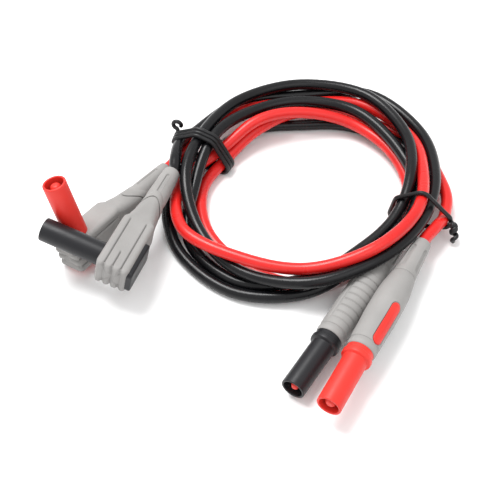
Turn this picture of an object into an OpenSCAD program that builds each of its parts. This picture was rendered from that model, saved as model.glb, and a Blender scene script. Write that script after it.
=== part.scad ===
// A pair of insulated test leads: one red and one black flexible cable, each with a straight
// shrouded 4 mm plug at one end and a right-angle shrouded 4 mm plug at the other, coiled and
// held by two wire ties. Every plug is a shroud, a contact pin, a spinning spring cage, a tip
// cap, a hard core, a soft grip, a strain-relief boot and a copper conductor. +Z is up, in mm.

/* [Cable] */
// Outside diameter of the silicone cable
cable_d = 4; // [3:0.1:5]
// Sides of the round cable section
cable_sides = 10; // [8:1:12]
// Sections along one turn of the coil
cable_steps = 18; // [12:1:24]

/* [Shroud] */
// Outside diameter of the insulating shroud
shroud_d = 7.7; // [7:0.1:8.4]
// Bore of the insulating shroud
shroud_bore = 6.2; // [6:0.1:6.8]
// Depth of the shroud's bore
shroud_depth = 15; // [12:0.5:18]
// Length of the straight plug's shroud in front of its collar
shroud_len = 18; // [16:0.5:20]
// Diameter of the straight plug's collar
collar_d = 9.5; // [8.5:0.1:10.5]

/* [Contact] */
// Outside diameter of the spring cage
contact_d = 4; // [3.9:0.05:4.1]
// Diameter of the pin inside the spring cage
pin_d = 2.7; // [2.4:0.1:3]
// Radial running clearance of the spring cage on its pin
run_gap = 0.05; // [0.02:0.01:0.1]
// Width of the slots between the cage's leaves
slot_w = 0.25; // [0.2:0.05:0.4]

/* [Straight plug] */
// Length of the straight plug from mouth to boot end
plug_len = 70; // [64:1:76]
// Middle of the red grip's window, from the mouth
window_z = 32.4; // [32:0.2:38]
// Turn of the red grip's window about the plug's axis
window_turn = 225; // [0:1:359]
// Turn of the black grip's ribs about the plug's axis
rib_turn = 200; // [0:1:359]
// Largest diameter of the soft grip
grip_d = 10.4; // [9:0.1:11]
// Diameter of the boot at the cable
boot_tip_d = 5.5; // [5:0.1:6.5]

/* [Right-angle plug] */
// Distance of the shroud's mouth from the cable axis
angle_reach = 26; // [24:0.5:28]
// Width of the elbow body
elbow_w = 10.5; // [9:0.1:12]
// Height of the elbow body
elbow_h = 11; // [9:0.1:12]
// Distance of the boot's end from the shroud axis
angle_len = 42.5; // [38:0.5:46]

/* [Wire ties] */
// Outside diameter of the plastic coating of the tie
tie_d = 1.5; // [1.2:0.1:2]
// Diameter of the steel wire in the tie
tie_wire_d = 0.6; // [0.4:0.1:0.8]

/* [Hidden] */
$fn = 48;
pin_r = pin_d / 2;
cage_in = pin_r + run_gap;
cage_out = contact_d / 2;
sh_r = shroud_d / 2;
bore_r = shroud_bore / 2;
wire_bore = 1.15;
wire_r = 1.1;
slot_turn = 238;
eps = 0.01;

// Middle of the coil and the shift that puts the plugs' middle over the origin
coil = [18.5, 24];
place = [-1.4, 10.7, 0];

// Where the plugs lie: mouth or elbow point and turn of each
black_straight_at = [12.5, -56.4, 5.6];
black_straight_turn = [0, 90.5, 57];
red_straight_at = [22.3, -65, 11];
red_straight_turn = [0, 92, 61];
black_angled_at = [-40.9, -16, 14.6];
black_angled_turn = [-78.5, 3, 70];
red_angled_at = [-55, -3.2, 7.1];
red_angled_turn = [-16, 0, 52];

// Extra height of every strand at the twelve stations, so that the ties pass below the coil
lift = [1.7, 0.6, 0, 0, 0.4, 1.5, 1.6, 0.4, 0, 0, 0, 1.2];

// Route points [distance from the coil's middle, height] every 30 degrees, clockwise from the
// left tie at 150 degrees, for each turn of the two cables
black_turns = [
  [[44.9, 6.3], [45.4, 6.4], [44.1, 6.3], [51.4, 6.4], [49.2, 6.4], [44.8, 7.8],
   [43, 9.6], [43.4, 11.8], [45.2, 10.6], [43.3, 6.2], [41, 6.8], [40.4, 10.8]],
  [[39.4, 11.2], [42.8, 10.6], [45.8, 10.2], [46.8, 10.2], [41.6, 10.6], [36.2, 10.6],
   [34.2, 7.4], [34, 6.4], [40.4, 6.3], [45, 2.2], [44.6, 2.2], [37, 7.2]],
  [[35.4, 10.8], [35.7, 10.3], [37.1, 10], [38.6, 9], [36.7, 8.1], [38.2, 6],
   [39.2, 9.8], [39, 10.2], [44.6, 4.4], [49.1, 2.1], [49.4, 2.1], [46, 2.1]],
  [[36, 2.1], [34.4, 2.1], [32.8, 2.1], [37, 2.1], [42.6, 2.1], [43.6, 2.2]]
];
red_turns = [
  [[40.8, 6.3], [41.2, 6.3], [39.8, 6.4], [45.1, 6.4], [45, 6.1], [40.4, 10.2],
   [40.8, 13.6], [41.1, 15.2], [39.9, 10.8], [41, 10.2], [46.5, 10], [42.4, 5]],
  [[32.4, 5.4], [30.8, 10.1], [31.2, 10], [34.9, 6], [36, 4.1], [36.2, 2.1],
   [33, 2.1], [36.2, 2.2], [39.8, 2.2], [38.6, 2.2], [37.6, 3], [34.8, 2.1]],
  [[30.2, 2.1], [30.4, 6], [35.8, 5.6], [41.4, 2.1], [47, 2.1], [48.5, 3]]
];
black_start = [[-25.6, 31, 12.4], [-24.6, 38.8, 10.8]];
red_start = [[-25.4, 35, 7], [-20.6, 40.4, 7.6]];
black_finish = [[56, 9, 3.8]];
red_finish = [[65.6, 11, 5.4], [61.5, 3.6, 8]];

// Colours of the materials
red_soft = [0.85, 0.1, 0.09];
black_soft = [0.06, 0.06, 0.07];
gray_soft = [0.62, 0.61, 0.6];
nickel = [0.8, 0.78, 0.72];
copper = [0.75, 0.42, 0.25];

// The point [x, y, z] of station i, for a strand point [distance, height]
function station(p, i) = [coil[0] + p[0] * cos(150 - 30 * i), coil[1] + p[0] * sin(150 - 30 * i),
  p[1] + lift[i % 12]];
function turn_points(turns) = [for (t = turns) for (i = [0:len(t) - 1]) station(t[i], i)];

// A smooth curve through the route points
function blend(a, b, c, d, t) = 0.5 * (2 * b + (c - a) * t + (2 * a - 5 * b + 4 * c - d) * t * t
  + (3 * b - a - 3 * c + d) * t * t * t);
function at(p, i) = p[max(0, min(len(p) - 1, i))];
function smooth(p, n) = [for (j = [0:n]) let (u = j * (len(p) - 1) / n, i = min(floor(u), len(p) - 2))
  above(blend(at(p, i - 1), at(p, i), at(p, i + 1), at(p, i + 2), u - i))];
// A cable lying down rests on the table, not in it
function above(v) = [v[0], v[1], max(v[2], cable_d / 2 + 0.05)];

// Direction, side and up of the curve at point i
function unit(v) = v / norm(v);
function ahead(p, i) = unit(at(p, i + 1) - at(p, i - 1));
function side_of(t) = unit([t[1], -t[0], 0]);
function ring(p, i, r, n) = let (t = ahead(p, i), s = side_of(t), u = cross(s, t))
  [for (k = [0:n - 1]) at(p, i) + r * (cos(360 * k / n) * s + sin(360 * k / n) * u)];

// A round tube swept along the points p
module sweep(p, r, n) {
  m = len(p);
  walls = [for (i = [0:m - 2]) for (k = [0:n - 1])
    [i * n + k, i * n + (k + 1) % n, (i + 1) * n + (k + 1) % n, (i + 1) * n + k]];
  caps = [[for (k = [0:n - 1]) n - 1 - k], [for (k = [0:n - 1]) (m - 1) * n + k]];
  polyhedron(points = [for (i = [0:m - 1]) each ring(p, i, r, n)], faces = concat(walls, caps),
    convexity = 20);
}

// Points on a plug's axis, from its place, turn and the distance along the axis
function turned(v, a) = let (x = [v[0], v[1] * cos(a[0]) - v[2] * sin(a[0]),
    v[1] * sin(a[0]) + v[2] * cos(a[0])],
  y = [x[0] * cos(a[1]) + x[2] * sin(a[1]), x[1], x[2] * cos(a[1]) - x[0] * sin(a[1])])
  [y[0] * cos(a[2]) - y[1] * sin(a[2]), y[0] * sin(a[2]) + y[1] * cos(a[2]), y[2]];
function straight_end(p, a, s) = p + turned([0, 0, s], a);
function angled_end(p, a, s) = p + turned([s, 0, 0], a);

module lead(start, turns, finish) {
  translate(place)
    let (p = concat(start, turn_points(turns), finish))
      sweep(smooth(p, round(len(p) * cable_steps / 12)), cable_d / 2, cable_sides);
}
module black_cable() {
  color(black_soft)
    lead(concat([for (s = [angle_len + 0.1, angle_len + 2])
        angled_end(black_angled_at, black_angled_turn, s)], black_start), black_turns,
      concat(black_finish, [for (s = [plug_len + 3, plug_len + 0.1])
        straight_end(black_straight_at, black_straight_turn, s)]));
}
module red_cable() {
  color(red_soft)
    lead(concat([for (s = [angle_len + 0.1, angle_len + 2])
        angled_end(red_angled_at, red_angled_turn, s)], red_start), red_turns,
      concat(red_finish, [for (s = [plug_len + 3, plug_len + 0.1])
        straight_end(red_straight_at, red_straight_turn, s)]));
}

// Put a plug's piece where the plug lies
module lay(p, a) {
  translate(place + p)
    rotate(a)
      children();
}

// Contact parts, along +Z from the mouth at z = 0
module contact_stem(back) {
  rotate_extrude()
    polygon([[0, 1.6], [0.75, 1.6], [0.75, 2.4], [1.7, 2.8], [1.7, 3.5], [pin_r, 3.5], [pin_r, 13.5],
      [1.7, 13.5], [1.7, 15], [1.25, 15], [1.25, back], [0, back]]);
}
module cage() {
  difference() {
    translate([0, 0, 3.6])
      cylinder(r = cage_out, h = 9.8);
    translate([0, 0, 3])
      cylinder(r = cage_in, h = 11);
    for (a = [0:45:315])
      for (z = [4.6, 9.2])
        rotate([0, 0, a])
          translate([1, -slot_w / 2, z])
            cube([2, slot_w, 3.2]);
  }
}
module tip_cap() {
  difference() {
    rotate_extrude()
      polygon([[0, 0.6], [0.8, 0.7], [1.4, 1.1], [1.7, 1.7], [1.7, 2.35], [0, 2.35]]);
    translate([0, 0, 1.5])
      cylinder(r = 0.8, h = 2);
  }
}

// Straight plug, along +Z from its mouth at z = 0 to the boot's end
module straight_shroud() {
  difference() {
    rotate_extrude()
      polygon([[0, 0], [sh_r - 0.3, 0], [sh_r, 0.3], [sh_r, shroud_len], [collar_d / 2, shroud_len + 0.3],
        [collar_d / 2, shroud_len + 1.5], [4.35, shroud_len + 1.7], [4.35, shroud_len + 3.4],
        [0, shroud_len + 3.4]]);
    translate([0, 0, -1])
      cylinder(r = bore_r, h = shroud_depth + 1);
    translate([0, 0, 10])
      cylinder(r = 1.3, h = 20);
  }
}
module straight_pin() {
  difference() {
    union() {
      contact_stem(23);
      translate([0, 0, 22])
        cylinder(r = 1.7, h = 12);
    }
    translate([0, 0, 26])
      cylinder(r = wire_bore, h = 10);
  }
}
module straight_wire() {
  translate([0, 0, 26.2])
    cylinder(r = wire_r, h = plug_len - 26.2);
}
module stadium(len, wide, deep) {
  cube([deep, wide, len - wide], center = true);
  for (s = [-1, 1])
    translate([0, 0, s * (len - wide) / 2])
      rotate([0, 90, 0])
        cylinder(d = wide, h = deep, center = true);
}
module straight_core(window) {
  difference() {
    union() {
      translate([0, 0, shroud_len + 3.4])
        cylinder(r = 3.2, h = 30.6);
      if (window)
        rotate([0, 0, window_turn])
          translate([3.5, 0, window_z])
            stadium(16.4, 3.6, 3.2);
    }
    translate([0, 0, 20])
      cylinder(r = 1.75, h = 14.2);
    translate([0, 0, 30])
      cylinder(r = wire_bore, h = 25);
  }
}
module straight_grip(window) {
  difference() {
    rotate_extrude()
      polygon([[0, shroud_len + 3.4], [4.5, shroud_len + 3.4], [4.7, shroud_len + 3.8],
        [4.7, 23.2], [4.5, 23.5], [4.5, 24], [4.75, 24.3], [4.95, 30], [grip_d / 2, 37], [grip_d / 2, 42],
        [4.95, 47], [4.4, 51], [3.9, 53.8], [0, 53.8]]);
    translate([0, 0, 20])
      cylinder(r = 3.22, h = 32);
    translate([0, 0, 40])
      cylinder(r = wire_bore, h = 20);
    if (window)
      rotate([0, 0, window_turn])
        translate([5, 0, window_z])
          stadium(16.5, 3.7, 6);
    if (!window)
      for (i = [0:7])
        translate([0, 0, 27 + 2.6 * i])
          rotate([0, 0, rib_turn - 50])
            rotate_extrude(angle = 100)
              translate([grip_d / 2 + 0.1, 0])
                circle(r = 0.45, $fn = 16);
  }
}
module straight_boot() {
  difference() {
    rotate_extrude()
      polygon([[0, 53.8], [3.7, 53.8], [3.85, 54.2], [3.7, 56], [3.3, 62],
        [boot_tip_d / 2 + 0.1, plug_len - 1], [boot_tip_d / 2, plug_len - 0.3],
        [boot_tip_d / 2 - 0.2, plug_len], [0, plug_len]]);
    translate([0, 0, 50])
      cylinder(r = wire_bore, h = 30);
    for (a = [0:90:270])
      rotate([0, 0, slot_turn + a])
        translate([3.6, 0, 61])
          rotate([0, -4, 0])
            stadium(9, 1.8, 1);
  }
}

// Right-angle plug: shroud along +Z with its mouth at angle_reach, cable along +X
module from_mouth() {
  translate([0, 0, angle_reach])
    rotate([180, 0, 0])
      children();
}
module angled_shroud() {
  difference() {
    from_mouth()
      rotate_extrude()
        polygon([[0, 0], [sh_r - 0.3, 0], [sh_r, 0.3], [sh_r, 22.4], [0, 22.4]]);
    from_mouth()
      translate([0, 0, -1])
        cylinder(r = bore_r, h = shroud_depth + 1);
    from_mouth()
      translate([0, 0, 10])
        cylinder(r = 1.3, h = 20);
  }
}
module angled_pin() {
  difference() {
    union() {
      from_mouth()
        contact_stem(26);
      rotate([0, 90, 0])
        cylinder(r = 2, h = 10);
      sphere(r = 2);
    }
    translate([3, 0, 0])
      rotate([0, 90, 0])
        cylinder(r = wire_bore, h = 10);
  }
}
module angled_wire() {
  translate([3.2, 0, 0])
    rotate([0, 90, 0])
      cylinder(r = wire_r, h = angle_len - 3.2);
}
module angled_core() {
  difference() {
    union() {
      translate([-4.6, -3.6, -elbow_h / 2])
        cube([17, 7.2, elbow_h / 2 + 3.5]);
      translate([-6, -3.4, -elbow_h / 2 - 0.9])
        cube([13.5, 6.8, 0.9]);
      translate([0, 0, 3])
        cylinder(r = 4.4, h = 2);
    }
    translate([0, 0, 3.5])
      cylinder(r = sh_r + 0.02, h = 10);
    cylinder(r = 1.3, h = 10);
    sphere(r = 2.05);
    rotate([0, 90, 0])
      cylinder(r = 2.05, h = 10.1);
    rotate([0, 90, 0])
      cylinder(r = wire_bore, h = 30);
  }
}
module elbow_side() {
  translate([-5.6, -elbow_h / 2])
    square([21.6, elbow_h]);
  for (z = [-3, -1, 1, 3])
    translate([-5.6, z * (elbow_h / 8)])
      circle(r = elbow_h / 8);
  polygon([[15.9, -4.9], [22, -4.4], [25, -4], [26, -3.6], [26, 3.6], [25, 4], [22, 4.4], [15.9, 4.9]]);
}
module elbow_top() {
  translate([-7, -elbow_w / 2 + 1.5])
    square([20, elbow_w - 3]);
  translate([-5.5, -elbow_w / 2])
    square([18, elbow_w]);
  for (s = [-1, 1])
    translate([-5.5, s * (elbow_w / 2 - 1.5)])
      circle(r = 1.5);
  polygon([[12.4, -elbow_w / 2], [16, -4.9], [22, -4.3], [25, -3.9], [26, -3.5], [26, 3.5], [25, 3.9],
    [22, 4.3], [16, 4.9], [12.4, elbow_w / 2]]);
}
module angled_grip() {
  difference() {
    intersection() {
      translate([0, elbow_w / 2 + 1, 0])
        rotate([90, 0, 0])
          linear_extrude(elbow_w + 2)
            elbow_side();
      translate([0, 0, -elbow_h / 2 - 1])
        linear_extrude(elbow_h + 2)
          elbow_top();
    }
    translate([-4.62, -3.62, -elbow_h / 2 - 1])
      cube([17.04, 7.24, elbow_h / 2 + 4.52]);
    cylinder(r = 4.42, h = 5.02);
    cylinder(r = sh_r + 0.02, h = 10);
    rotate([0, 90, 0])
      cylinder(r = wire_bore, h = 30);
    for (s = [-1, 1])
      for (z = [-2, 2])
        translate([4, s * elbow_w / 2, z * elbow_h / 8])
          cube([22, 0.9, 0.5], center = true);
    for (s = [-1, 1])
      translate([-3.5, s * elbow_w / 2, 0])
        cube([7, 0.9, 0.5], center = true);
  }
}
module angled_boot() {
  difference() {
    rotate([0, 90, 0])
      rotate_extrude()
        polygon([[0, 26], [3.75, 26], [3.95, 26.4], [3.8, 28], [3.2, 36], [2.8, angle_len - 1],
          [boot_tip_d / 2 - 0.1, angle_len], [0, angle_len]]);
    translate([20, 0, 0])
      rotate([0, 90, 0])
        cylinder(r = wire_bore, h = 30);
    for (a = [0:90:270])
      rotate([a, 0, 0])
        translate([33.5, 0, 3.65])
          rotate([0, 93, 0])
            stadium(9, 1.6, 1);
  }
}

// Wire ties: rounded loops in the plane across the coil's bundle, with twisted ends outside
module bend_arc(x, y, start, r, wire) {
  translate([x, y, 0])
    rotate([0, 0, start])
      rotate_extrude(angle = 90)
        translate([r, 0])
          circle(r = wire, $fn = 16);
}
module rod(x, y, turn, len, wire) {
  translate([x, y, 0])
    rotate([0, 0, turn])
      rotate([0, 90, 0])
        cylinder(r = wire, h = len, $fn = 16);
}
module loop(w, h, r, wire) {
  bend_arc(w / 2 - r, h / 2 - r, 0, r, wire);
  bend_arc(-w / 2 + r, h / 2 - r, 90, r, wire);
  bend_arc(-w / 2 + r, -h / 2 + r, 180, r, wire);
  bend_arc(w / 2 - r, -h / 2 + r, 270, r, wire);
  rod(-w / 2 + r, h / 2, 0, w - 2 * r, wire);
  rod(-w / 2 + r, -h / 2, 0, w - 2 * r, wire);
  rod(-w / 2, -h / 2 + r, 90, h - 2 * r, wire);
  rod(w / 2, -h / 2 + r, 90, h - 2 * r, wire);
}
module left_tie(wire) {
  translate([coil[0] + place[0] + 37.8 * cos(157), coil[1] + place[1] + 37.8 * sin(157), 8.55])
    rotate([90, 0, 157]) {
      translate([0, 0, -1.1])
        loop(22.4, 15.6, 5, wire);
      translate([0, 0, 1.1])
        loop(22.4, 15.6, 5, wire);
      rod(11.2, 0, 80, 6.6, wire);
      translate([13, 8.4, 0])
        rotate_extrude()
          translate([1.9, 0])
            circle(r = wire, $fn = 16);
      translate([11.2, 0, -1.1])
        cylinder(r = wire, h = 2.2, $fn = 16);
    }
}
module right_tie(wire) {
  translate([coil[0] + place[0] + 41.1 * cos(340), coil[1] + place[1] + 41.1 * sin(340), 8.85])
    rotate([90, 0, 340]) {
      loop(22.4, 16.2, 5, wire);
      translate([11.2, -1, 0])
        sphere(r = wire * 1.5, $fn = 16);
      translate([11.2, -1, 0])
        rotate([70, 20, 0])
          cylinder(r = wire, h = 7, $fn = 16);
    }
}

// The named pieces
module black_straight_shroud() {
  color(black_soft)
    lay(black_straight_at, black_straight_turn)
      straight_shroud();
}
module black_straight_pin() {
  color(nickel)
    lay(black_straight_at, black_straight_turn)
      straight_pin();
}
module black_straight_cage() {
  color(nickel)
    lay(black_straight_at, black_straight_turn)
      cage();
}
module black_straight_tip() {
  color(red_soft)
    lay(black_straight_at, black_straight_turn)
      tip_cap();
}
module black_straight_core() {
  color(black_soft)
    lay(black_straight_at, black_straight_turn)
      straight_core(false);
}
module black_straight_grip() {
  color(gray_soft)
    lay(black_straight_at, black_straight_turn)
      straight_grip(false);
}
module black_straight_boot() {
  color(gray_soft)
    lay(black_straight_at, black_straight_turn)
      straight_boot();
}
module black_straight_wire() {
  color(copper)
    lay(black_straight_at, black_straight_turn)
      straight_wire();
}
module black_angled_shroud() {
  color(black_soft)
    lay(black_angled_at, black_angled_turn)
      angled_shroud();
}
module black_angled_pin() {
  color(nickel)
    lay(black_angled_at, black_angled_turn)
      angled_pin();
}
module black_angled_cage() {
  color(nickel)
    lay(black_angled_at, black_angled_turn)
      from_mouth()
        cage();
}
module black_angled_tip() {
  color(red_soft)
    lay(black_angled_at, black_angled_turn)
      from_mouth()
        tip_cap();
}
module black_angled_core() {
  color(black_soft)
    lay(black_angled_at, black_angled_turn)
      angled_core();
}
module black_angled_grip() {
  color(gray_soft)
    lay(black_angled_at, black_angled_turn)
      angled_grip();
}
module black_angled_boot() {
  color(gray_soft)
    lay(black_angled_at, black_angled_turn)
      angled_boot();
}
module black_angled_wire() {
  color(copper)
    lay(black_angled_at, black_angled_turn)
      angled_wire();
}
module red_straight_shroud() {
  color(red_soft)
    lay(red_straight_at, red_straight_turn)
      straight_shroud();
}
module red_straight_pin() {
  color(nickel)
    lay(red_straight_at, red_straight_turn)
      straight_pin();
}
module red_straight_cage() {
  color(nickel)
    lay(red_straight_at, red_straight_turn)
      cage();
}
module red_straight_tip() {
  color(red_soft)
    lay(red_straight_at, red_straight_turn)
      tip_cap();
}
module red_straight_core() {
  color(red_soft)
    lay(red_straight_at, red_straight_turn)
      straight_core(true);
}
module red_straight_grip() {
  color(gray_soft)
    lay(red_straight_at, red_straight_turn)
      straight_grip(true);
}
module red_straight_boot() {
  color(gray_soft)
    lay(red_straight_at, red_straight_turn)
      straight_boot();
}
module red_straight_wire() {
  color(copper)
    lay(red_straight_at, red_straight_turn)
      straight_wire();
}
module red_angled_shroud() {
  color(red_soft)
    lay(red_angled_at, red_angled_turn)
      angled_shroud();
}
module red_angled_pin() {
  color(nickel)
    lay(red_angled_at, red_angled_turn)
      angled_pin();
}
module red_angled_cage() {
  color(nickel)
    lay(red_angled_at, red_angled_turn)
      from_mouth()
        cage();
}
module red_angled_tip() {
  color(red_soft)
    lay(red_angled_at, red_angled_turn)
      from_mouth()
        tip_cap();
}
module red_angled_core() {
  color(red_soft)
    lay(red_angled_at, red_angled_turn)
      angled_core();
}
module red_angled_grip() {
  color(gray_soft)
    lay(red_angled_at, red_angled_turn)
      angled_grip();
}
module red_angled_boot() {
  color(gray_soft)
    lay(red_angled_at, red_angled_turn)
      angled_boot();
}
module red_angled_wire() {
  color(copper)
    lay(red_angled_at, red_angled_turn)
      angled_wire();
}
module left_tie_coat() {
  color(black_soft)
    difference() {
      left_tie(tie_d / 2);
      left_tie(tie_wire_d / 2 + 0.01);
    }
}
module left_tie_wire() {
  color(nickel)
    left_tie(tie_wire_d / 2);
}
module right_tie_coat() {
  color(black_soft)
    difference() {
      right_tie(tie_d / 2);
      right_tie(tie_wire_d / 2 + 0.01);
    }
}
module right_tie_wire() {
  color(nickel)
    right_tie(tie_wire_d / 2);
}

black_cable();
red_cable();
black_straight_shroud();
black_straight_pin();
black_straight_cage();
black_straight_tip();
black_straight_core();
black_straight_grip();
black_straight_boot();
black_straight_wire();
black_angled_shroud();
black_angled_pin();
black_angled_cage();
black_angled_tip();
black_angled_core();
black_angled_grip();
black_angled_boot();
black_angled_wire();
red_straight_shroud();
red_straight_pin();
red_straight_cage();
red_straight_tip();
red_straight_core();
red_straight_grip();
red_straight_boot();
red_straight_wire();
red_angled_shroud();
red_angled_pin();
red_angled_cage();
red_angled_tip();
red_angled_core();
red_angled_grip();
red_angled_boot();
red_angled_wire();
left_tie_coat();
left_tie_wire();
right_tie_coat();
right_tie_wire();
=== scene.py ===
# %% [markdown]
# # A pair of test leads, coiled and tied
# One red and one black silicone lead. Each has a straight shrouded plug at one end and a
# right-angle shrouded plug at the other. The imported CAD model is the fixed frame: it says how
# big everything is and where it lies, and this file gives every piece its finished surface.

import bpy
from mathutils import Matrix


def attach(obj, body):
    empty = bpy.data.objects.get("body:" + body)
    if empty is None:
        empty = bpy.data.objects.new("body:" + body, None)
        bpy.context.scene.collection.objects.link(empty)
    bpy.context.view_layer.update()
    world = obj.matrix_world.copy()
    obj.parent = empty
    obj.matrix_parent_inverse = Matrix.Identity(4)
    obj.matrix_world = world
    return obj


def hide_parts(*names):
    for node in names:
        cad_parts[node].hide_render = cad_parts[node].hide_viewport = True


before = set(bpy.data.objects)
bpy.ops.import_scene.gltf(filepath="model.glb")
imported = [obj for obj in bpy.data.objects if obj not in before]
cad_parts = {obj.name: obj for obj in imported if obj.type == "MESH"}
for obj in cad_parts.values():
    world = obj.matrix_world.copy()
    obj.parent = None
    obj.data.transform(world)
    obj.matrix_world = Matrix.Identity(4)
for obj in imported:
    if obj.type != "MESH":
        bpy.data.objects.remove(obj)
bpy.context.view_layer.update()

# %% [markdown]
# ## Camera
# Small goods are often shown from a raised front view, from far enough away that their lines
# stay almost parallel. A 70 mm lens does that. The camera comes first because the length of
# the free cords is judged by what it sees.

# %% Camera
from bisect import bisect_right
from math import copysign, cos, degrees, exp, hypot, pi, radians, sin

import bmesh
import bpy
from mathutils import Euler, Matrix, Vector

MM = 0.001
PLACE = Vector((-1.4, 10.7, 0))
LENS = 70
CAMERA_BACK = 200.1
CAMERA_UP = 256.1


def look_from(spot, target):
    """The turn of an object at spot whose -Z looks at target"""
    return (Vector(target) - Vector(spot)).to_track_quat("-Z", "Y").to_euler()


view = bpy.data.objects.new("view", bpy.data.cameras.new("view"))
bpy.context.collection.objects.link(view)
view.data.lens = LENS
view.data.clip_start = 0.01
view.location = Vector((PLACE.x, PLACE.y - CAMERA_BACK, CAMERA_UP)) * MM
view.rotation_euler = look_from(view.location, PLACE * MM)
bpy.context.scene.camera = view
bpy.context.scene.view_settings.view_transform = "Standard"
print("camera at", [round(v, 3) for v in view.location])

# %% [markdown]
# ## Finishes
# Moulded plastic and rubber are never one flat colour. The pigment clouds a little, the mould
# leaves a fine grain, and the gloss changes where the skin was handled. One helper makes all of
# them: a large soft noise between two close shades, a middle noise in the gloss, and a fine
# noise in the relief. Numbers that are the same all over are set on the shader itself.


# %% A helper for node trees
def add(tree, kind, **settings):
    """A new node, with its settings and the values of its inputs by name"""
    made = tree.nodes.new(kind)
    for key, value in settings.items():
        if hasattr(made, key):
            setattr(made, key, value)
        else:
            made.inputs[key.replace("_", " ").title()].default_value = value
    return made


def noise(tree, scale, detail=3.0, stretch=(1, 1, 1)):
    """A noise in the object's own space, in metres, stretched along its axes"""
    where = add(tree, "ShaderNodeTexCoord")
    mapped = add(tree, "ShaderNodeMapping")
    mapped.inputs["Scale"].default_value = stretch
    cloud = add(tree, "ShaderNodeTexNoise", scale=scale, detail=detail)
    tree.links.new(where.outputs["Object"], mapped.inputs["Vector"])
    tree.links.new(mapped.outputs["Vector"], cloud.inputs["Vector"])
    return cloud.outputs["Fac"]


def spread(tree, value, low, high, start=0.3, end=0.7):
    """The part of value between start and end, spread between low and high"""
    ranged = add(tree, "ShaderNodeMapRange")
    for key, number in (("From Min", start), ("From Max", end), ("To Min", low), ("To Max", high)):
        ranged.inputs[key].default_value = number
    tree.links.new(value, ranged.inputs["Value"])
    return ranged.outputs["Result"]


print("helpers for the finishes are ready")


# %% Moulded plastic and rubber
COLOUR_A, COLOUR_B, COLOUR_RESULT = 6, 7, 2     # the colour sockets of a mix node
GRAIN_HEIGHT = 0.1 * MM


def moulded(name, light, dark, gloss, grain, grain_scale, cloud_scale=70, stretch=(1, 1, 1),
            **more):
    """A moulded finish: two shades in soft clouds, gloss from and to, and a grain in relief"""
    finish = bpy.data.materials.new(name)
    finish.use_nodes = True
    tree = finish.node_tree
    shader = tree.nodes["Principled BSDF"]
    shade = add(tree, "ShaderNodeMix", data_type="RGBA")
    shade.inputs[COLOUR_A].default_value = (*light, 1)
    shade.inputs[COLOUR_B].default_value = (*dark, 1)
    tree.links.new(spread(tree, noise(tree, cloud_scale, 4), 0, 1), shade.inputs["Factor"])
    tree.links.new(shade.outputs[COLOUR_RESULT], shader.inputs["Base Color"])
    handled = spread(tree, noise(tree, cloud_scale * 4, 5), *gloss)
    tree.links.new(handled, shader.inputs["Roughness"])
    relief = add(tree, "ShaderNodeBump", strength=grain, distance=GRAIN_HEIGHT)
    tree.links.new(noise(tree, grain_scale, 4, stretch), relief.inputs["Height"])
    tree.links.new(relief.outputs["Normal"], shader.inputs["Normal"])
    for socket, value in more.items():
        shader.inputs[socket.replace("_", " ")].default_value = value
    return finish


red_silicone = moulded("red silicone", (0.66, 0.016, 0.013), (0.55, 0.01, 0.009), (0.24, 0.36),
                       0.14, 1900, IOR=1.43)
black_silicone = moulded("black silicone", (0.005, 0.005, 0.006), (0.003, 0.003, 0.004),
                         (0.22, 0.32), 0.14, 1900, IOR=1.36)
red_plastic = moulded("red plastic", (0.7, 0.03, 0.019), (0.62, 0.021, 0.014), (0.38, 0.5),
                      0.14, 2600, IOR=1.44)
black_plastic = moulded("black plastic", (0.012, 0.012, 0.014), (0.008, 0.008, 0.01),
                        (0.34, 0.46), 0.16, 2600, IOR=1.38)
gray_overmould = moulded("gray overmould", (0.3, 0.291, 0.283), (0.25, 0.243, 0.236),
                         (0.55, 0.7), 0.4, 2300, IOR=1.38)
tie_plastic = moulded("tie plastic", (0.008, 0.008, 0.009), (0.005, 0.005, 0.006), (0.3, 0.42),
                      0.3, 1500, IOR=1.4)
print("six moulded finishes, from", red_silicone.name, "to", tie_plastic.name)

# %% [markdown]
# ## Metals
# The contact pins and their spring cages are nickel-plated brass, the conductors are tinned
# copper strands, and the core of a wire tie is galvanised steel. Plating shows fine marks along
# the direction it was drawn or turned, so the relief is a noise that is stretched along the axis.


# %% Drawn metals
def drawn_metal(name, light, dark, gloss, marks):
    """A metal with fine marks along its length and slightly clouded plating"""
    return moulded(name, light, dark, gloss, marks, 3200, 260, (1, 1, 0.08), Metallic=1.0)


nickel = drawn_metal("nickel plating", (0.72, 0.68, 0.6), (0.56, 0.53, 0.48), (0.2, 0.34), 0.2)
copper = drawn_metal("copper strands", (0.79, 0.42, 0.28), (0.62, 0.31, 0.2), (0.28, 0.42), 0.5)
tie_steel = drawn_metal("tie steel", (0.6, 0.6, 0.58), (0.45, 0.45, 0.44), (0.3, 0.45), 0.3)
METALS = {"pin": nickel, "cage": nickel, "wire": copper}
for name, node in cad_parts.items():
    metal = METALS.get(name.rsplit("_", 1)[1])
    if metal:
        for holder in node.material_slots:
            holder.material = metal
print("metal finishes are on the pins, cages and conductors")

# %% [markdown]
# ## The two leads
# A lead wound by hand never makes neat circles: each turn wanders in and out and climbs over
# the one below. So every turn is a list of twelve points, thirty degrees apart, with a distance
# from the middle of the coil and a height. A smooth curve through them is the centreline, and a
# round bevel gives the silicone its thickness. The points are the same as the CAD model's.

# %% Where the plugs lie
PLUGS = {
    "black_straight": ((12.5, -56.4, 5.6), (0, 90.5, 57)),
    "red_straight": ((22.3, -65, 11), (0, 92, 61)),
    "black_angled": ((-40.9, -16, 14.6), (-78.5, 3, 70)),
    "red_angled": ((-55, -3.2, 7.1), (-16, 0, 52)),
}
PLUG_LENGTH = 70
ELBOW_LENGTH = 42.5
BOOT_GAP = 0.1


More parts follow.
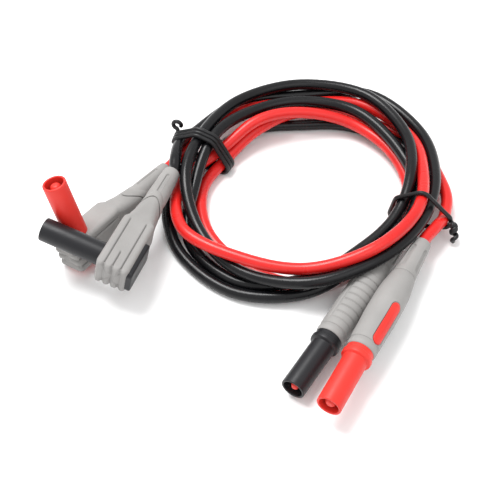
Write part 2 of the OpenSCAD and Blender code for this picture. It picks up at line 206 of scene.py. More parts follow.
def plug_place(name):
    """Where a plug's own axes lie in the frame, as a matrix in metres"""
    at, turn = PLUGS[name]
    return (Matrix.Translation((PLACE + Vector(at)) * MM)
            @ Euler([radians(a) for a in turn], "XYZ").to_matrix().to_4x4())


def on_plug(name, x, z):
    """A point on a plug's own x or z axis, in the frame, in metres"""
    return plug_place(name) @ (Vector((x, 0, z)) * MM)


print("plugs:", ", ".join(PLUGS))

# %% The routes of the leads
COIL = Vector((18.5, 24, 0))
CABLE_RADIUS = 2
FIRST_STATION, STATION_STEP = 150, 30
LIFT = [1.7, 0.6, 0, 0, 0.4, 1.5, 1.6, 0.4, 0, 0, 0, 1.2]
TURNS = {
    "black": [
        [(44.9, 6.3), (45.4, 6.4), (44.1, 6.3), (51.4, 6.4), (49.2, 6.4), (44.8, 7.8),
         (43, 9.6), (43.4, 11.8), (45.2, 10.6), (43.3, 6.2), (41, 6.8), (40.4, 10.8)],
        [(39.4, 11.2), (42.8, 10.6), (45.8, 10.2), (46.8, 10.2), (41.6, 10.6), (36.2, 10.6),
         (34.2, 7.4), (34, 6.4), (40.4, 6.3), (45, 2.2), (44.6, 2.2), (37, 7.2)],
        [(35.4, 10.8), (35.7, 10.3), (37.1, 10), (38.6, 9), (36.7, 8.1), (38.2, 6),
         (39.2, 9.8), (39, 10.2), (44.6, 4.4), (49.1, 2.1), (49.4, 2.1), (46, 2.1)],
        [(36, 2.1), (34.4, 2.1), (32.8, 2.1), (37, 2.1), (42.6, 2.1), (43.6, 2.2)],
    ],
    "red": [
        [(40.8, 6.3), (41.2, 6.3), (39.8, 6.4), (45.1, 6.4), (45, 6.1), (40.4, 10.2),
         (40.8, 13.6), (41.1, 15.2), (39.9, 10.8), (41, 10.2), (46.5, 10), (42.4, 5)],
        [(32.4, 5.4), (30.8, 10.1), (31.2, 10), (34.9, 6), (36, 4.1), (36.2, 2.1),
         (33, 2.1), (36.2, 2.2), (39.8, 2.2), (38.6, 2.2), (37.6, 3), (34.8, 2.1)],
        [(30.2, 2.1), (30.4, 6), (35.8, 5.6), (41.4, 2.1), (47, 2.1), (48.5, 3)],
    ],
}
START = {
    "black": [(-25.6, 31, 12.4), (-24.6, 38.8, 10.8)],
    "red": [(-25.4, 35, 7), (-20.6, 40.4, 7.6)],
}
FINISH = {"black": [(56, 9, 3.8)], "red": [(65.6, 11, 5.4), (61.5, 3.6, 8)]}


def stations(turns):
    """The route points of a coil, clockwise from the left tie"""
    for turn in turns:
        for i, (reach, height) in enumerate(turn):
            angle = radians(FIRST_STATION - STATION_STEP * i)
            spot = Vector((reach * cos(angle), reach * sin(angle), height + LIFT[i]))
            yield (COIL + PLACE + spot) * MM


def route(lead):
    """The route points of a lead, from its right-angle plug to its straight plug"""
    bend, plug = f"{lead}_angled", f"{lead}_straight"
    return [
        *(on_plug(bend, ELBOW_LENGTH + s, 0) for s in (BOOT_GAP, 2)),
        *((Vector(p) + PLACE) * MM for p in START[lead]),
        *stations(TURNS[lead]),
        *((Vector(p) + PLACE) * MM for p in FINISH[lead]),
        *(on_plug(plug, 0, PLUG_LENGTH + s) for s in (3, BOOT_GAP)),
    ]


print({lead: len(route(lead)) for lead in TURNS}, "route points")


# %% One smooth line through the points
def smooth_line(points, pieces):
    """Points along a smooth curve that passes through every point"""
    line = []
    last = len(points) - 1
    for j in range(last * pieces + 1):
        i = min(j // pieces, last - 1)
        t = j / pieces - i
        a, b, c, d = (points[max(0, min(last, i + k))] for k in (-1, 0, 1, 2))
        line.append(0.5 * (2 * b + (c - a) * t + (2 * a - 5 * b + 4 * c - d) * t * t
                           + (3 * b - a - 3 * c + d) * t ** 3))
    return line


def tube(name, line, radius, finish, nodes, sides=6):
    """A round tube along a line, as a curve with a bevel"""
    curve = bpy.data.curves.new(name, "CURVE")
    curve.dimensions = "3D"
    curve.bevel_depth = radius * MM
    curve.bevel_resolution = sides
    curve.use_fill_caps = True
    spline = curve.splines.new("POLY")
    spline.points.add(len(line) - 1)
    for point, spot in zip(spline.points, line):
        point.co = (*spot, 1)
    spline.use_smooth = True
    curve.materials.append(finish)
    made = bpy.data.objects.new(name, curve)
    bpy.context.collection.objects.link(made)
    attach(made, "root")
    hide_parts(*nodes)
    return made


def length_of(line):
    """The length of a line of points"""
    return sum((b - a).length for a, b in zip(line, line[1:]))


print("the black route is", round(length_of(smooth_line(route("black"), 8)), 3), "m long")

# %% The leads
LOWEST = (CABLE_RADIUS + 0.05) * MM
lead_lines = {}
for lead, finish in (("black", black_silicone), ("red", red_silicone)):
    line = [Vector((p.x, p.y, max(p.z, LOWEST))) for p in smooth_line(route(lead), 8)]
    cable = tube(f"{lead}_lead", line, CABLE_RADIUS, finish,
                 [f"{lead}_cable"], 8)
    lead_lines[lead] = line

# %% [markdown]
# ## Turned and lofted shapes
# Most of a plug is round or nearly round, so its skin can be a stack of rings. Where every ring
# is a circle, one outline turned about the axis is enough. Where the surface has a window, ribs
# or grooves, the distance of each point is moved in or out by a small formula. That keeps every
# detail tied to a real size, and the mesh stays even.


# %% Skins from rings
def skin(rings, joined=False):
    """The points and faces of a surface through rings of points, closed at both ends"""
    count = len(rings[0])
    points = [p for ring in rings for p in ring]
    faces = []
    for i in range(len(rings) if joined else len(rings) - 1):
        a, b = i * count, (i + 1) % len(rings) * count
        for j in range(count):
            k = (j + 1) % count
            faces.append((a + j, a + k, b + k, b + j))
    if not joined:
        faces.append(tuple(range(count)))
        faces.append(tuple(range(len(points) - count, len(points))))
    return points, faces


MERGE = 0.005 * MM


def piece(name, shapes, place, finish, nodes, crease=38):
    """A named piece from skins in millimetres, laid where its plug lies"""
    mesh = bpy.data.meshes.new(name)
    points, faces = [], []
    for shape_points, shape_faces in shapes:
        first = len(points)
        points += [Vector(p) * MM for p in shape_points]
        faces += [tuple(first + i for i in face) for face in shape_faces]
    mesh.from_pydata(points, [], faces)
    work = bmesh.new()
    work.from_mesh(mesh)
    bmesh.ops.remove_doubles(work, verts=work.verts, dist=MERGE)
    bmesh.ops.recalc_face_normals(work, faces=work.faces)
    work.to_mesh(mesh)
    work.free()
    mesh.shade_smooth()
    mesh.set_sharp_from_angle(angle=radians(crease))
    mesh.materials.append(finish)
    made = bpy.data.objects.new(name, mesh)
    bpy.context.collection.objects.link(made)
    made.matrix_world = place
    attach(made, "root")
    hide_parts(*nodes)
    print(name, "has", len(mesh.polygons), "faces")
    return made


def round_about(radius, angle, z):
    """A point at that distance and turn (in degrees) about the plug's axis"""
    return (radius * cos(radians(angle)), radius * sin(radians(angle)), z)


def turned(outline, steps=80):
    """A closed outline of (distance, height) points turned about the axis"""
    rings = [[round_about(r, 360 * k / steps, z) for k in range(steps)] for r, z in outline]
    return skin(rings, True)


print("skins are ready")


# %% Rounded corners and smooth steps
def rounded(corners, steps=4):
    """A closed outline whose (x, y, fillet) corners are rounded by their fillets"""
    line = []
    for i, (x, y, fillet) in enumerate(corners):
        here = Vector((x, y))
        if not fillet:
            line.append(here)
            continue
        before = here + (Vector(corners[i - 1][:2]) - here).normalized() * fillet
        after = here + (Vector(corners[(i + 1) % len(corners)][:2]) - here).normalized() * fillet
        for s in range(steps + 1):
            t = s / steps
            line.append(before.lerp(here, t).lerp(here.lerp(after, t), t))
    return line


def fade(start, end, x):
    """0 at start, 1 at end, and smooth between"""
    t = max(0.0, min(1.0, (x - start) / (end - start)))
    return t * t * (3 - 2 * t)


def bell(x, half):
    """1 in the middle of a groove or rib and near 0 beyond its half width"""
    return exp(-(x / half) ** 2 * 2)


def through(points, x):
    """The height at x of a smooth line through (x, height) points that never overshoots"""
    last = len(points) - 1
    slopes = [(b[1] - a[1]) / (b[0] - a[0]) for a, b in zip(points, points[1:])]

    def lean(i):
        if i == 0 or i == last:
            return slopes[min(i, last - 1)]
        a, b = slopes[i - 1], slopes[i]
        return 2 * a * b / (a + b) if a * b > 0 else 0.0

    i = max(0, min(last - 1, bisect_right([p[0] for p in points], x) - 1))
    (x0, y0), (x1, y1) = points[i], points[i + 1]
    width = x1 - x0
    t = max(0.0, min(1.0, (x - x0) / width))
    return ((1 + 2 * t) * (1 - t) ** 2 * y0 + t * (1 - t) ** 2 * width * lean(i)
            + t * t * (3 - 2 * t) * y1 + t * t * (t - 1) * width * lean(i + 1))


def beside_stadium(across, along, length, width):
    """How far a point lies outside a long rounded slot: less than 0 inside it"""
    return hypot(across, max(abs(along) - (length - width) / 2, 0)) - width / 2


def apart(a, b):
    """The smaller angle from b to a, in degrees, between -180 and 180"""
    return (a - b + 180) % 360 - 180


print("a triangle with rounded corners has", len(rounded([(0, 0, 1), (9, 0, 1), (9, 9, 1)])),
      "points")

# %% [markdown]
# ## Shrouds
# The shroud is a deep plastic tube that keeps fingers off the contact. The straight plug's
# shroud ends in a stepped collar against the grip, and the right-angle one runs plainly into
# its elbow. Both are turned outlines with rounded lips, since moulded edges catch the light.

# %% Shrouds
SHROUD_RADIUS = 3.85
BORE_RADIUS = 3.1
BORE_DEPTH = 15
PIN_HOLE_RADIUS = 1.3
COLLAR_AT = 18
COLLAR_BACK = COLLAR_AT + 3.4
COLLAR_RADIUS = 4.75
NECK_RADIUS = 4.35
ELBOW_REACH = 26
ANGLED_BACK = 22.4
MOUTH = [
    (SHROUD_RADIUS, 0, 0.35), (BORE_RADIUS, 0, 0.3), (BORE_RADIUS, BORE_DEPTH, 0.4),
    (PIN_HOLE_RADIUS, BORE_DEPTH, 0),
]
STRAIGHT_SHROUD = [
    (PIN_HOLE_RADIUS, COLLAR_BACK, 0), (NECK_RADIUS, COLLAR_BACK, 0.1),
    (NECK_RADIUS, COLLAR_AT + 1.75, 0.2), (COLLAR_RADIUS, COLLAR_AT + 1.6, 0.15),
    (COLLAR_RADIUS, COLLAR_AT + 0.1, 0.35), (4.15, COLLAR_AT - 0.2, 0.15),
    (SHROUD_RADIUS, COLLAR_AT - 0.35, 0.2), *MOUTH,
]
ANGLED_SHROUD = [(PIN_HOLE_RADIUS, ANGLED_BACK, 0), (SHROUD_RADIUS, ANGLED_BACK, 0), *MOUTH]
turn_over = Matrix.Translation((0, 0, ELBOW_REACH * MM)) @ Matrix.Rotation(pi, 4, "X")
for plug in PLUGS:
    lead, kind = plug.split("_")
    straight = kind == "straight"
    place = plug_place(plug) if straight else plug_place(plug) @ turn_over
    outline = STRAIGHT_SHROUD if straight else ANGLED_SHROUD
    piece(f"{plug}_shroud_skin", [turned(rounded(outline))], place,
          red_plastic if lead == "red" else black_plastic,
          [f"{plug}_shroud"])

# %% [markdown]
# ## Tip caps
# A small plastic cap sits on the end of the contact pin, so that a finger which reaches into
# the bore still touches no metal. It is a low dome with a rounded rim, red on all four plugs,
# and a little narrower in the straight black plug.

# %% Tip caps
NARROW_TIP = 0.74
TIP = [(0, 2.35, 0), (1.7, 2.35, 0.15), (1.75, 1.25, 0.5), (1.0, 0.62, 0.35), (0, 0.55, 0)]
for plug in PLUGS:
    place = plug_place(plug) if plug.endswith("straight") else plug_place(plug) @ turn_over
    wide = NARROW_TIP if plug == "black_straight" else 1
    piece(f"{plug}_tip_dome", [turned([(r * wide, z) for r, z in rounded(TIP)], 48)], place,
          red_plastic, [f"{plug}_tip"])

# %% [markdown]
# ## Straight grips
# The soft gray overmould swells towards its middle and tapers into the boot. The red plug has a
# long window where the hard red core shows, and the black plug has shallow finger ribs across
# it. Both have a thin groove near the collar and a fine parting line down each side.

# %% Details of the straight grips
GRIP_START, GRIP_END = 21.4, 53.8
GRIP_LINE = [
    (21.4, 4.45), (21.9, 4.7), (23.2, 4.74), (23.45, 4.5), (23.95, 4.5), (24.2, 4.78),
    (30, 4.95), (36.5, 5.18), (42, 5.18), (47, 4.95), (50.6, 4.45), (53.3, 4.02), (53.8, 3.75),
]
WINDOW_TURN = 225
WINDOW_MIDDLE, WINDOW_LENGTH, WINDOW_WIDTH = 32.4, 16.4, 3.6
RIB_TURN, RIB_SPREAD, RIB_START, RIB_PITCH, RIBS = 200, 50, 26.4, 2.6, 8
RIB_HEIGHT, RIB_GROOVE = 0.22, 0.38     # a groove is as deep as half its width
PARTING_HEIGHT, PARTING_HALF = 0.05, 0.22


def parting_line(angle, turn, radius):
    """A fine raised line where the two halves of the mould met"""
    return sum(PARTING_HEIGHT * bell(radius * radians(apart(angle, turn + side)), PARTING_HALF)
               for side in (90, 270))


def with_window(angle, z, radius):
    """A shallow well round the window, with a soft lip outside it"""
    across = radius * radians(apart(angle, WINDOW_TURN))
    if abs(across) > 4:
        return parting_line(angle, WINDOW_TURN, radius)
    edge = beside_stadium(across, z - WINDOW_MIDDLE, WINDOW_LENGTH + 0.3, WINDOW_WIDTH + 0.3)
    return 0.07 * bell(edge - 0.35, 0.35) - 0.4 * fade(0.12, -0.12, edge)


def with_ribs(angle, z, radius):
    """Finger ribs: each rises slowly towards the cable and drops into a sharp groove"""
    off = apart(angle, RIB_TURN)
    step = (z - RIB_START) / RIB_PITCH
    sides = fade(RIB_SPREAD + 4, RIB_SPREAD - 4, abs(off))
    ends = fade(-0.15, 0.15, step) * fade(RIBS + 0.15, RIBS - 0.15, step)
    drop = (step + 0.5) % 1 - 0.5
    rise = RIB_HEIGHT * (step % 1) * fade(0, 0.12, step % 1)
    beyond = radius * radians(abs(off) - RIB_SPREAD - 6)
    side_groove = RIB_HEIGHT * bell(beyond, 0.4) * fade(25, 27, z) * fade(50, 47, z)
    return (sides * ends * (rise - RIB_GROOVE * bell(drop * RIB_PITCH, RIB_GROOVE))
            - side_groove + parting_line(angle, RIB_TURN, radius))


print("the ribs run from", RIB_START, "to", round(RIB_START + RIBS * RIB_PITCH, 1), "mm")


# %% Straight grips
def ringed(line, start, end, rows, detail, steps):
    """Rings of a round skin whose distance from the axis is a line plus a detail"""
    rings = []
    for j in range(rows + 1):
        z = start + (end - start) * j / rows
        base = through(line, z)
        rings.append([round_about(base + detail(360 * k / steps, z, base), 360 * k / steps, z)
                      for k in range(steps)])
    return rings


for lead, detail in (("black", with_ribs), ("red", with_window)):
    plug = f"{lead}_straight"
    piece(f"{plug}_grip_skin", [skin(ringed(GRIP_LINE, GRIP_START, GRIP_END, 150, detail, 180))],
          plug_place(plug), gray_overmould, [f"{plug}_grip"])

# %% [markdown]
# ## The window in the red grip
# The core stands a hair proud of the gray skin, with a rounded edge that leaves a fine shadow
# line all round. It is a long rounded pad bent to the grip's own curve. On the black plug the
# core is hidden, so a plain rod of black plastic stands for it.

# %% Core of the straight plugs
PAD_EDGE = [
    (0, -0.7), (0, -0.06), (0.04, 0.03), (0.14, 0.1), (0.35, 0.14), (0.9, 0.16), (1.7, 0.17),
]
CORE_START, CORE_END, CORE_HOLE, CORE_RADIUS = 21.5, 52, 2.1, 3.2


def window_pad():
    """A long rounded pad that follows the grip's surface, from its foot to its crown"""
    rings = []
    for inset, rise in PAD_EDGE:
        half = WINDOW_WIDTH / 2 - inset
        ring = []
        for k in range(72):
            angle = 2 * pi * k / 72
            shift = copysign((WINDOW_LENGTH - WINDOW_WIDTH) / 2, sin(angle)) if k % 36 else 0
            z = WINDOW_MIDDLE + shift + half * sin(angle)
            radius = through(GRIP_LINE, z)
            aside = degrees(half * cos(angle) / radius)
            ring.append(round_about(radius + rise, WINDOW_TURN + aside, z))
        rings.append(ring)
    return skin(rings)


core_rod = turned(rounded([(CORE_HOLE, CORE_START, 0), (CORE_RADIUS, CORE_START, 0.2),
                           (CORE_RADIUS, CORE_END, 0.2), (CORE_HOLE, CORE_END, 0)]), 48)
piece("red_straight_core_pad", [window_pad(), core_rod], plug_place("red_straight"), red_plastic,
      ["red_straight_core"])
piece("black_straight_core_rod", [core_rod], plug_place("black_straight"), black_plastic,
      ["black_straight_core"])

# %% [markdown]
# ## Boots
# The boot lets the cable bend without a kink. It is the same soft gray rubber, a cone with four
# long rounded slots that make it give way evenly. Its end is rolled in to meet the cable.

# %% Boots
STRAIGHT_BOOT = [
    (53.8, 3.6), (54.0, 3.82), (54.5, 3.86), (56, 3.7), (62, 3.32), (68.4, 2.9), (69.5, 2.78),
    (69.9, 2.5), (70, 2.2),
]
ANGLED_BOOT = [
    (19.5, 3.2), (22, 3.5), (27.4, 3.56), (36, 3.2), (41, 2.88), (42.1, 2.74), (42.4, 2.5),
    (42.5, 2.2),
]
ANGLED_BOOT_START = ANGLED_BOOT[0][0]
BOOT_HOLE = 1.95
# Middle, length, width and depth of the slots, and the turn of the first
STRAIGHT_SLOTS = (61, 10, 1.7, 0.42, 238)
ANGLED_SLOTS = (33.6, 9.5, 1.1, 0.45, 90)


def with_slots(middle, length, width, depth, first_turn):
    """Four long slots round a boot, each with a soft lip"""
    def detail(angle, z, radius):
        across = radius * radians((apart(angle, first_turn) + 45) % 90 - 45)
        edge = beside_stadium(across, z - middle, length, width)
        return 0.06 * bell(edge - 0.25, 0.3) - depth * fade(0.14, -0.14, edge)
    return detail


def boot(line, start, end, slots, steps=144):
    """A slotted boot whose end is rolled in to the cable"""
    rings = ringed(line, start, end, 110, with_slots(*slots), steps)
    inner = [[round_about(BOOT_HOLE, 360 * k / steps, end - back) for k in range(steps)]
             for back in (0.15, 1.5)]
    return skin(rings + inner)


lay_along = Matrix.Rotation(pi / 2, 4, "Y")
for lead in TURNS:
    piece(f"{lead}_straight_boot_skin",
          [boot(STRAIGHT_BOOT, GRIP_END, PLUG_LENGTH, STRAIGHT_SLOTS)],
          plug_place(f"{lead}_straight"), gray_overmould,
          [f"{lead}_straight_boot"])
    piece(f"{lead}_angled_boot_skin",
          [boot(ANGLED_BOOT, ANGLED_BOOT_START, ELBOW_LENGTH, ANGLED_SLOTS)],
          plug_place(f"{lead}_angled") @ lay_along, gray_overmould,
          [f"{lead}_angled_boot"])

# %% [markdown]
# ## Elbow grips
# The right-angle plug has a boxy grip with rounded edges. Two long thin grooves and a short one
# between them run down each broad face and out over the end, which they cut into four round
# ridges. Near the cable the box steps in to a narrower head whose lip is an arch over the boot.
# It is a loft of rounded boxes along the cable's axis, with the grooves, ridges and arch as
# small moves of its points.


# %% Rings of a rounded box
def box_ring(half_y, half_z, corner, count):
    """Evenly spaced (y, z) points round a box with rounded corners"""
    flat_y, flat_z = half_y - corner, half_z - corner
    quarter = flat_y + flat_z + pi / 2 * corner
    ring = []
    for k in range(count):
        lap, s = divmod(4 * quarter * k / count, quarter)
        if lap % 2:
            s = quarter - s
        if s < flat_z:
            y, z = half_y, s
        elif s < flat_z + pi / 2 * corner:
            bend = (s - flat_z) / corner
            y, z = flat_y + corner * cos(bend), flat_z + corner * sin(bend)
        else:
            y, z = quarter - s, half_z
        ring.append((y if lap in (0, 3) else -y, z if lap < 2 else -z))
    return ring


print("a box ring has", len(box_ring(5, 5, 1, 200)), "points")

# %% Details of the elbow grips
# Half width, half height and corner radius along the cable's axis, from the elbow's end
HALF_Y = [(-7, 5.25), (11, 5.25), (13.5, 5.15), (15.4, 4.75), (16.2, 4.5), (22, 4.3), (26, 4.12)]
HALF_Z = [(-7, 5.55), (0, 5.5), (14.2, 5.35), (15.6, 4.9), (16.4, 4.6), (22, 4.45), (26, 4.25)]
CORNER = [(-7, 1.5), (14, 1.5), (17, 2.4), (22, 3.4), (26, 4.0)]
ELBOW_END, HEAD_END = -7, 26
END_ROUND = 1.3
LEAST_CORNER = 0.4
GROOVE_Z, GROOVE_HALF, GROOVE_DEPTH = 2.75, 0.3, 0.6
LONG_GROOVE_END, SHORT_GROOVE_END = 14.3, 0.8
RIDGE_DEPTH, RIDGE_HALF = 0.95, 0.75
ARCH = 5.2
# The groove behind the head's lip, as (place on the axis, how far in from the head's size)
SEAM = [(26.12, 0.06), (26.16, 0.3), (26.16, 0.85), (26.66, 0.85), (26.66, 0.3), (26.8, 0.14),
        (28.2, 0.34), (29.6, 0.6), (30.2, 1.3)]


def elbow_point(x, y, z, half_y, half_z):
    """A point of the elbow's skin, moved by the grooves, the ridges and the arch"""
    if abs(y) > half_y - 0.35:
        long_ones = (bell(abs(z) - GROOVE_Z, GROOVE_HALF)
                     * fade(LONG_GROOVE_END, LONG_GROOVE_END - 1, x))
        middle_one = bell(z, GROOVE_HALF) * fade(SHORT_GROOVE_END, SHORT_GROOVE_END - 1, x)
        y -= copysign(GROOVE_DEPTH * (long_ones + middle_one), y)
    valley = (max(bell(z - g, RIDGE_HALF) for g in (-GROOVE_Z, 0, GROOVE_Z))
              + (max(abs(z) - 4.3, 0) / 1.2) ** 2)
    x += RIDGE_DEPTH * valley * fade(-3.5, -6.5, x)
    x -= ARCH * (z / half_z) ** 2 * fade(16.5, 25, x)
    return (x, y, z)


print("the elbow is", HEAD_END - ELBOW_END, "mm long with its head")


# %% Elbow grips
def elbow_skin(count=236, along=105):
    """The elbow's skin: a flat end, its rounded edge, the box and head, and the seam"""
    (end_y, end_z, end_corner) = (sizes[0][1] for sizes in (HALF_Y, HALF_Z, CORNER))
    (head_y, head_z, head_corner) = (sizes[-1][1] for sizes in (HALF_Y, HALF_Z, CORNER))
    flat_end = box_ring(end_y - END_ROUND, end_z - END_ROUND, LEAST_CORNER, count)
    rings = [[(ELBOW_END, y * share, z * share) for y, z in flat_end]
             for share in (0.02, 0.35, 0.7)]
    for s in range(6):
        turn = pi / 2 * s / 6
        pull = END_ROUND * (1 - sin(turn))
        corner = max(end_corner - pull, LEAST_CORNER)
        rings.append([(ELBOW_END + END_ROUND * (1 - cos(turn)), y, z)
                      for y, z in box_ring(end_y - pull, end_z - pull, corner, count)])
    for j in range(along + 1):
        x = ELBOW_END + END_ROUND + (HEAD_END - ELBOW_END - END_ROUND) * j / along
        sizes = (through(HALF_Y, x), through(HALF_Z, x), through(CORNER, x))
        rings.append([(x, y, z) for y, z in box_ring(*sizes, count)])
    for x, pull in SEAM:
        rings.append([(x, y, z) for y, z in
                      box_ring(head_y - pull, head_z - pull, head_corner - pull, count)])
    return skin([[elbow_point(x, y, z, through(HALF_Y, x), through(HALF_Z, x))
                  for x, y, z in ring] for ring in rings])


for lead in TURNS:
    plug = f"{lead}_angled"
    piece(f"{plug}_grip_skin", [elbow_skin()], plug_place(plug), gray_overmould,
          [f"{plug}_grip"], crease=50)

# %% [markdown]
# ## Elbow cores
# The hard core shows at the back of the elbow as a low rounded slab, in the lead's own colour.
# It is a stack of rounded rings: straight sides that sink into the grip, then a soft edge.

# %% Elbow cores
SLAB_MIDDLE = 0.75
SLAB_CORNER = 1.5
# Half length, half width, how far it stands proud, and its finish
SLABS = {"black": (7.2, 4.4, 1.3, black_plastic), "red": (6.7, 3.5, 0.9, red_plastic)}
SLAB_EDGE = [(0, -3), (0, -0.6), (0.06, -0.3), (0.2, -0.12), (0.45, -0.04), (1.5, 0), (3.2, 0)]
GRIP_BACK = 5.5
for lead, (half_x, half_y, thick, finish) in SLABS.items():
    rings = [[(SLAB_MIDDLE + a, b, -GRIP_BACK - thick - level) for a, b in
              box_ring(half_x - inset, half_y - inset, max(SLAB_CORNER - inset, 0.3), 96)]
             for inset, level in SLAB_EDGE]
    piece(f"{lead}_angled_core_slab", [skin(rings)], plug_place(f"{lead}_angled"), finish,
          [f"{lead}_angled_core"])

# %% [markdown]
# ## Wire ties
# A wire tie is a steel wire in a soft black coat. Each holds the coil at one side: the left one
# goes round three times and ends in a small open eye, and the right one goes round once and
# its ends are twisted together into a knot with two short tails. A tie is as tight as the
# strands let it be, so its loop is the outline of the strands where they cross its plane.

# %% Where the strands cross a tie
TIE_RADIUS, TIE_WIRE_RADIUS = 0.75, 0.3
TIE_LOWEST = TIE_RADIUS + 0.05
LEFT_TIE_TURN, RIGHT_TIE_TURN = 157, 340


def crossings(turn):
    """Where the strands of both leads cross the plane at that turn of the coil: (reach, height)"""
    a = radians(turn)
    outward, along = Vector((cos(a), sin(a), 0)), Vector((sin(a), -cos(a), 0))
    found = []
    for line in lead_lines.values():
        for p, q in zip(line, line[1:]):
            p, q = p / MM - COIL - PLACE, q / MM - COIL - PLACE
            d, e = p.dot(along), q.dot(along)
            if d * e <= 0 and d != e and p.dot(outward) > 0:
                spot = p.lerp(q, d / (d - e))
                found.append((spot.dot(outward), spot.z))
    return found


print({turn: len(crossings(turn)) for turn in (LEFT_TIE_TURN, RIGHT_TIE_TURN)},
      "strands cross the ties")


# %% A tight loop round the bundle
def hull(points):
    """The corners of the tightest convex outline round (x, y) points, anticlockwise"""
    def half(ordered):
        side = []
        for p in ordered:
            while len(side) > 1 and ((side[-1][0] - side[-2][0]) * (p[1] - side[-2][1])
                                     - (side[-1][1] - side[-2][1]) * (p[0] - side[-2][0])) <= 0:
                side.pop()
            side.append(p)
        return side[:-1]
    ordered = sorted(set(points))
    return half(ordered) + half(ordered[::-1])


def round_bundle(turn, count=72):
    """Evenly spaced (outwards, up) points of a tight loop round the strands at that turn"""
    gap = CABLE_RADIUS + TIE_RADIUS + 0.05
    rims = [(r + gap * cos(2 * pi * k / 40), max(z + gap * sin(2 * pi * k / 40), TIE_LOWEST))
            for r, z in crossings(turn) for k in range(40)]
    corners = hull(rims)
    first = max(range(len(corners)), key=lambda i: corners[i][0])
    corners = [Vector(c) for c in corners[first:] + corners[:first + 1]]
    steps = [(b - a).length for a, b in zip(corners, corners[1:])]
    loop, walked, i = [], 0.0, 0
    for k in range(count):
        goal = sum(steps) * k / count
        while walked + steps[i] < goal:
            walked += steps[i]
            i += 1
        loop.append(corners[i].lerp(corners[i + 1], (goal - walked) / steps[i]))
    return loop


print("the left loop starts", [round(v, 1) for v in round_bundle(LEFT_TIE_TURN)[0]],
      "mm out and up")

# %% [markdown]
# The wire is then led round that loop, moving a little along the bundle with each lap, and its
# ends are bent by hand. The steel is a thinner tube that looks out at both ends of the coat.


# %% Laps and twisted ends
SWAY, SWAYS_PER_LAP = 0.3, 0.9
TWIST_RADIUS = 0.8


def on_bundle(points, turn):
    """Points (outwards, up, along) in the plane at that turn of the coil, in the frame"""
    a = radians(turn)
    outward, up = Vector((cos(a), sin(a), 0)), Vector((0, 0, 1))
    along = Vector((sin(a), -cos(a), 0))
    return [(COIL + PLACE + outward * u + up * v + along * w) * MM for u, v, w in points]


def wraps(loop, laps, width, grow=0.0):
    """A loop followed laps times while it moves along the bundle, ending a little further out"""
    count = len(loop)
    middle = sum(loop, Vector((0, 0))) / count
    path = []
    for k in range(0, round(laps * count) + 1, 2):
        spot = loop[k % count]
        spot = spot + (spot - middle).normalized() * grow * k / count
        sway = SWAY * sin(2 * pi * k / count * SWAYS_PER_LAP)
        path.append((spot.x, max(spot.y, TIE_LOWEST),
                     width * (k / (laps * count) - 0.5) + sway))
    return path


def twisted(start, lean, turns, length, flip):
    """One of two ends twisted round each other, from start along the way that they lean"""
    lean = Vector(lean).normalized()
    side = lean.orthogonal().normalized()
    other = lean.cross(side)
    path = []
    for k in range(1, 10 * turns + 1):
        a = 2 * pi * k / 10
        off = (side * cos(a) + other * sin(a)) * TWIST_RADIUS * flip
        path.append(tuple(Vector(start) + lean * length * k / (10 * turns) + off))
    return path


print("a lap sways by", SWAY, "mm")

# %% The two ties
LEFT_LAPS, LEFT_WIDTH, LEFT_GROWTH = 3.04, 4.6, 0.2
EYE_RADIUS = 1.4
EYE_SHIFT = Vector((0.6, 2.0, 0.2))
RIGHT_WIDTH = 1.6
KNOT_SHIFT = 1.0
TAIL_LEAN = (0.35, -0.8, 0.6)
LONG_TAIL, SHORT_TAIL = 6.2, 4.6
BARE_STEEL = 0.7 * MM
left = wraps(round_bundle(LEFT_TIE_TURN), LEFT_LAPS, LEFT_WIDTH, LEFT_GROWTH)
eye = Vector(left[-1]) + EYE_SHIFT
left += [tuple(eye + Vector((EYE_RADIUS * cos(radians(a)), EYE_RADIUS * sin(radians(a)),
                             (a + 150) / 300)))
         for a in range(-90, 211, 30)]
right = wraps(round_bundle(RIGHT_TIE_TURN), 1, RIGHT_WIDTH)
knot_at = (right[0][0] + KNOT_SHIFT, right[0][1], 0)
first_end = twisted(knot_at, TAIL_LEAN, 2, LONG_TAIL, 1)
second_end = twisted(knot_at, TAIL_LEAN, 2, SHORT_TAIL, -1)
right = second_end[::-1] + right + first_end
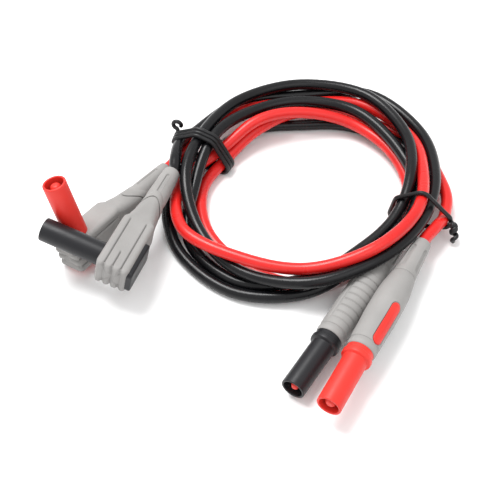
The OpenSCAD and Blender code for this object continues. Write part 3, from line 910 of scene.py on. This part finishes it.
for name, points, turn in (("left", left, LEFT_TIE_TURN), ("right", right, RIGHT_TIE_TURN)):
    line = smooth_line(on_bundle(points, turn), 3)
    tube(f"{name}_tie_skin", line, TIE_RADIUS, tie_plastic,
         [f"{name}_tie_coat"], 5)
    first = line[0] + (line[0] - line[1]).normalized() * BARE_STEEL
    last = line[-1] + (line[-1] - line[-2]).normalized() * BARE_STEEL
    tube(f"{name}_tie_steel", [first, *line, last], TIE_WIRE_RADIUS, tie_steel,
         [f"{name}_tie_wire"], 3)
    print(name, "tie is", round(length_of(line) * 1000), "mm of wire")

# %% [markdown]
# ## Floor and light
# The leads lie on a plain white table under broad soft light. One large lamp high at the back
# left draws the long soft shine along the cables, a second one at the front right opens the
# shadows, and a white surround lifts everything towards the paleness of a studio.

# %% Floor
HALF_TABLE = 3.0
BELOW_THE_LEADS = 0.05 * MM
floor_mesh = bpy.data.meshes.new("table")
corners = [(x * HALF_TABLE, y * HALF_TABLE, 0) for x, y in ((-1, -1), (1, -1), (1, 1), (-1, 1))]
floor_mesh.from_pydata(corners, [], [(0, 1, 2, 3)])
table = bpy.data.objects.new("table", floor_mesh)
bpy.context.collection.objects.link(table)
table.location.z = -BELOW_THE_LEADS
floor_mesh.materials.append(moulded("table white", (0.92, 0.92, 0.92), (0.9, 0.9, 0.9), (0.7, 0.8),
                                    0.05, 900))
print("the table is", 2 * HALF_TABLE, "m wide")

# %% Light
# Place, width in metres and power in watts of each lamp
LAMPS = {
    "key": ((-0.28, 0.26, 0.9), 0.45, 9.5),
    "fill": ((0.35, -0.45, 0.8), 0.7, 1.6),
}
for name, (spot, size, power) in LAMPS.items():
    lamp = bpy.data.lights.new(name, "AREA")
    lamp.size = size
    lamp.energy = power
    holder = bpy.data.objects.new(name, lamp)
    bpy.context.collection.objects.link(holder)
    holder.location = spot
    holder.rotation_euler = look_from(spot, (0, 0, 0))
SURROUND_STRENGTH = 0.95
surround = bpy.data.worlds.new("surround")
surround.use_nodes = True
glow = surround.node_tree.nodes["Background"]
glow.inputs["Color"].default_value = (1, 1, 1, 1)
glow.inputs["Strength"].default_value = SURROUND_STRENGTH
bpy.context.scene.world = surround
print("lamps:", ", ".join(LAMPS))
